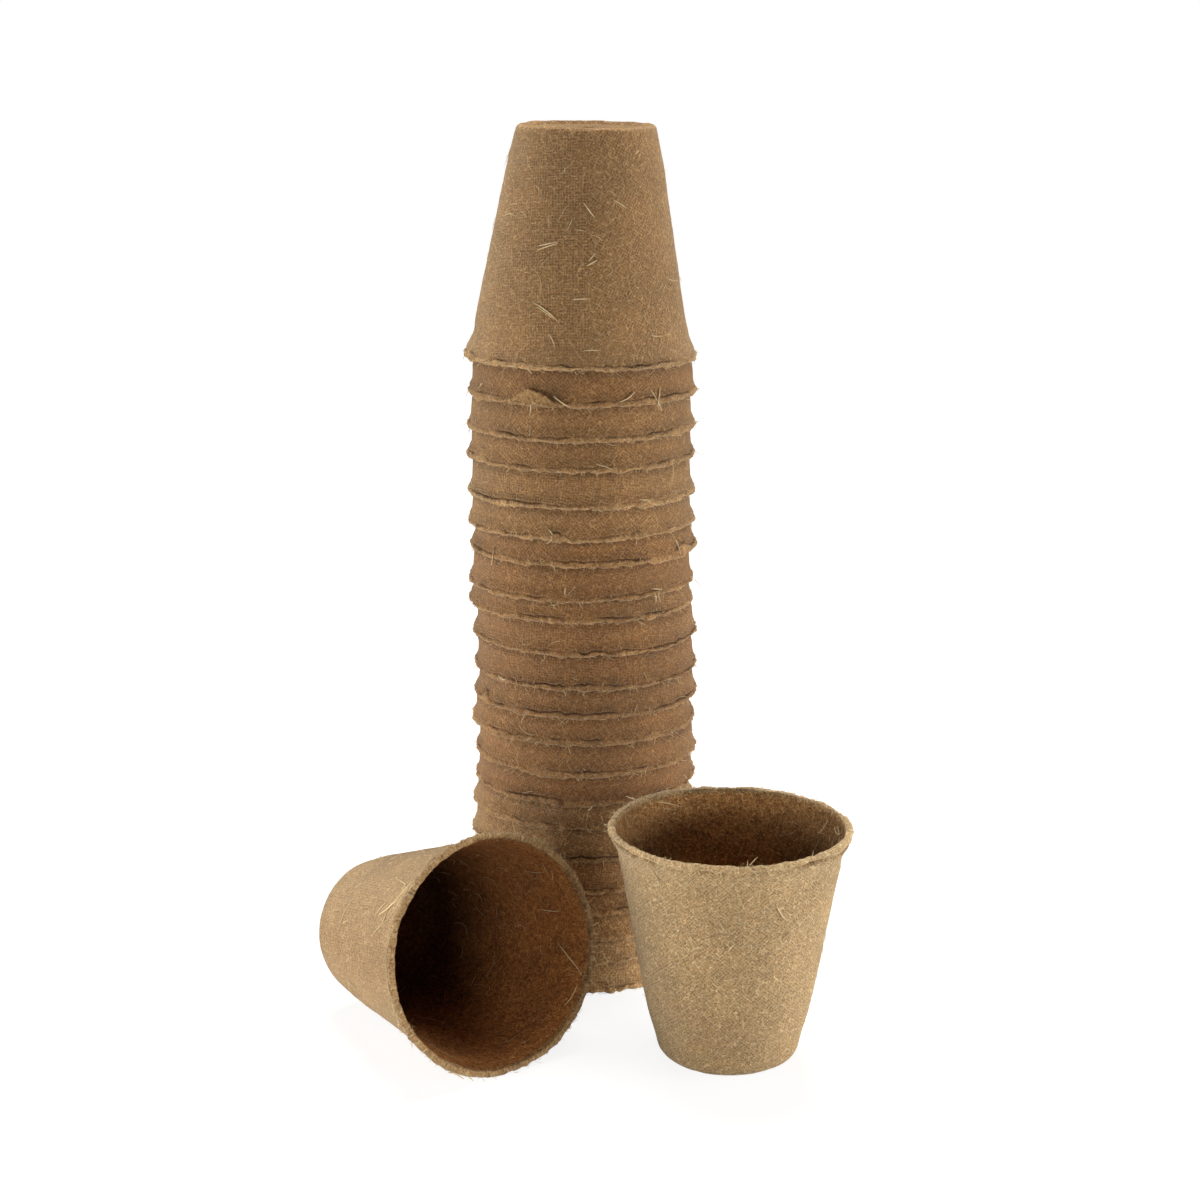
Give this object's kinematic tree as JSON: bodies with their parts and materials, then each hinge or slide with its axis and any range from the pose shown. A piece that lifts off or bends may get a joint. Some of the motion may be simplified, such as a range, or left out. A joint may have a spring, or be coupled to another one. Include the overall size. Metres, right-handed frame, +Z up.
{
  "type": "peat pot set",
  "caption": "Round tapered moulded-fibre plant pots with a turned-out ragged lip, nested upside down in a tall stack, with one pot lying and one standing in front of it.",
  "frame": {"origin": "centre of the circle on which the stack's lowest pot stands, on the floor", "axes": "+Z up along the stack; the loose pots stand in front of the stack, on its -Y side, the lying one to the left at -X and the upright one to the right at +X"},
  "size_m": [0.1815, 0.164, 0.3042],
  "materials": {
    "moulded_fibre": "matte, rough, fibrous"
  },
  "bodies": {
    "stack_pot_01": {"stack_pot_01": "moulded_fibre"},
    "stack_pot_02": {"stack_pot_02": "moulded_fibre"},
    "stack_pot_03": {"stack_pot_03": "moulded_fibre"},
    "stack_pot_04": {"stack_pot_04": "moulded_fibre"},
    "stack_pot_05": {"stack_pot_05": "moulded_fibre"},
    "stack_pot_06": {"stack_pot_06": "moulded_fibre"},
    "stack_pot_07": {"stack_pot_07": "moulded_fibre"},
    "stack_pot_08": {"stack_pot_08": "moulded_fibre"},
    "stack_pot_09": {"stack_pot_09": "moulded_fibre"},
    "stack_pot_10": {"stack_pot_10": "moulded_fibre"},
    "stack_pot_11": {"stack_pot_11": "moulded_fibre"},
    "stack_pot_12": {"stack_pot_12": "moulded_fibre"},
    "stack_pot_13": {"stack_pot_13": "moulded_fibre"},
    "stack_pot_14": {"stack_pot_14": "moulded_fibre"},
    "stack_pot_15": {"stack_pot_15": "moulded_fibre"},
    "stack_pot_16": {"stack_pot_16": "moulded_fibre"},
    "stack_pot_17": {"stack_pot_17": "moulded_fibre"},
    "stack_pot_18": {"stack_pot_18": "moulded_fibre"},
    "stack_pot_19": {"stack_pot_19": "moulded_fibre"},
    "stack_pot_20": {"stack_pot_20": "moulded_fibre"},
    "stack_pot_21": {"stack_pot_21": "moulded_fibre"},
    "stack_pot_22": {"stack_pot_22": "moulded_fibre"},
    "upright_pot": {"upright_pot": "moulded_fibre"},
    "lying_pot": {"lying_pot": "moulded_fibre"}
  },
  "joints": [
    {"name": "stack_pot_02_lift", "type": "slide", "parent": "stack_pot_01", "child": "stack_pot_02", "axis": [0, 0, 1], "range_m": [0, 0.08]},
    {"name": "stack_pot_03_lift", "type": "slide", "parent": "stack_pot_02", "child": "stack_pot_03", "axis": [0, 0, 1], "range_m": [0, 0.08]},
    {"name": "stack_pot_04_lift", "type": "slide", "parent": "stack_pot_03", "child": "stack_pot_04", "axis": [0, 0, 1], "range_m": [0, 0.08]},
    {"name": "stack_pot_05_lift", "type": "slide", "parent": "stack_pot_04", "child": "stack_pot_05", "axis": [0, 0, 1], "range_m": [0, 0.08]},
    {"name": "stack_pot_06_lift", "type": "slide", "parent": "stack_pot_05", "child": "stack_pot_06", "axis": [0, 0, 1], "range_m": [0, 0.08]},
    {"name": "stack_pot_07_lift", "type": "slide", "parent": "stack_pot_06", "child": "stack_pot_07", "axis": [0, 0, 1], "range_m": [0, 0.08]},
    {"name": "stack_pot_08_lift", "type": "slide", "parent": "stack_pot_07", "child": "stack_pot_08", "axis": [0, 0, 1], "range_m": [0, 0.08]},
    {"name": "stack_pot_09_lift", "type": "slide", "parent": "stack_pot_08", "child": "stack_pot_09", "axis": [0, 0, 1], "range_m": [0, 0.08]},
    {"name": "stack_pot_10_lift", "type": "slide", "parent": "stack_pot_09", "child": "stack_pot_10", "axis": [0, 0, 1], "range_m": [0, 0.08]},
    {"name": "stack_pot_11_lift", "type": "slide", "parent": "stack_pot_10", "child": "stack_pot_11", "axis": [0, 0, 1], "range_m": [0, 0.08]},
    {"name": "stack_pot_12_lift", "type": "slide", "parent": "stack_pot_11", "child": "stack_pot_12", "axis": [0, 0, 1], "range_m": [0, 0.08]},
    {"name": "stack_pot_13_lift", "type": "slide", "parent": "stack_pot_12", "child": "stack_pot_13", "axis": [0, 0, 1], "range_m": [0, 0.08]},
    {"name": "stack_pot_14_lift", "type": "slide", "parent": "stack_pot_13", "child": "stack_pot_14", "axis": [0, 0, 1], "range_m": [0, 0.08]},
    {"name": "stack_pot_15_lift", "type": "slide", "parent": "stack_pot_14", "child": "stack_pot_15", "axis": [0, 0, 1], "range_m": [0, 0.08]},
    {"name": "stack_pot_16_lift", "type": "slide", "parent": "stack_pot_15", "child": "stack_pot_16", "axis": [0, 0, 1], "range_m": [0, 0.08]},
    {"name": "stack_pot_17_lift", "type": "slide", "parent": "stack_pot_16", "child": "stack_pot_17", "axis": [0, 0, 1], "range_m": [0, 0.08]},
    {"name": "stack_pot_18_lift", "type": "slide", "parent": "stack_pot_17", "child": "stack_pot_18", "axis": [0, 0, 1], "range_m": [0, 0.08]},
    {"name": "stack_pot_19_lift", "type": "slide", "parent": "stack_pot_18", "child": "stack_pot_19", "axis": [0, 0, 1], "range_m": [0, 0.08]},
    {"name": "stack_pot_20_lift", "type": "slide", "parent": "stack_pot_19", "child": "stack_pot_20", "axis": [0, 0, 1], "range_m": [0, 0.08]},
    {"name": "stack_pot_21_lift", "type": "slide", "parent": "stack_pot_20", "child": "stack_pot_21", "axis": [0, 0, 1], "range_m": [0, 0.08]},
    {"name": "stack_pot_22_lift", "type": "slide", "parent": "stack_pot_21", "child": "stack_pot_22", "axis": [0, 0, 1], "range_m": [0, 0.08]},
    {"name": "upright_pot_lift", "type": "slide", "parent": "stack_pot_01", "child": "upright_pot", "axis": [0, 0, 1], "range_m": [0, 0.1]},
    {"name": "lying_pot_lift", "type": "slide", "parent": "stack_pot_01", "child": "lying_pot", "axis": [0, 0, 1], "range_m": [0, 0.1]}
  ]
}
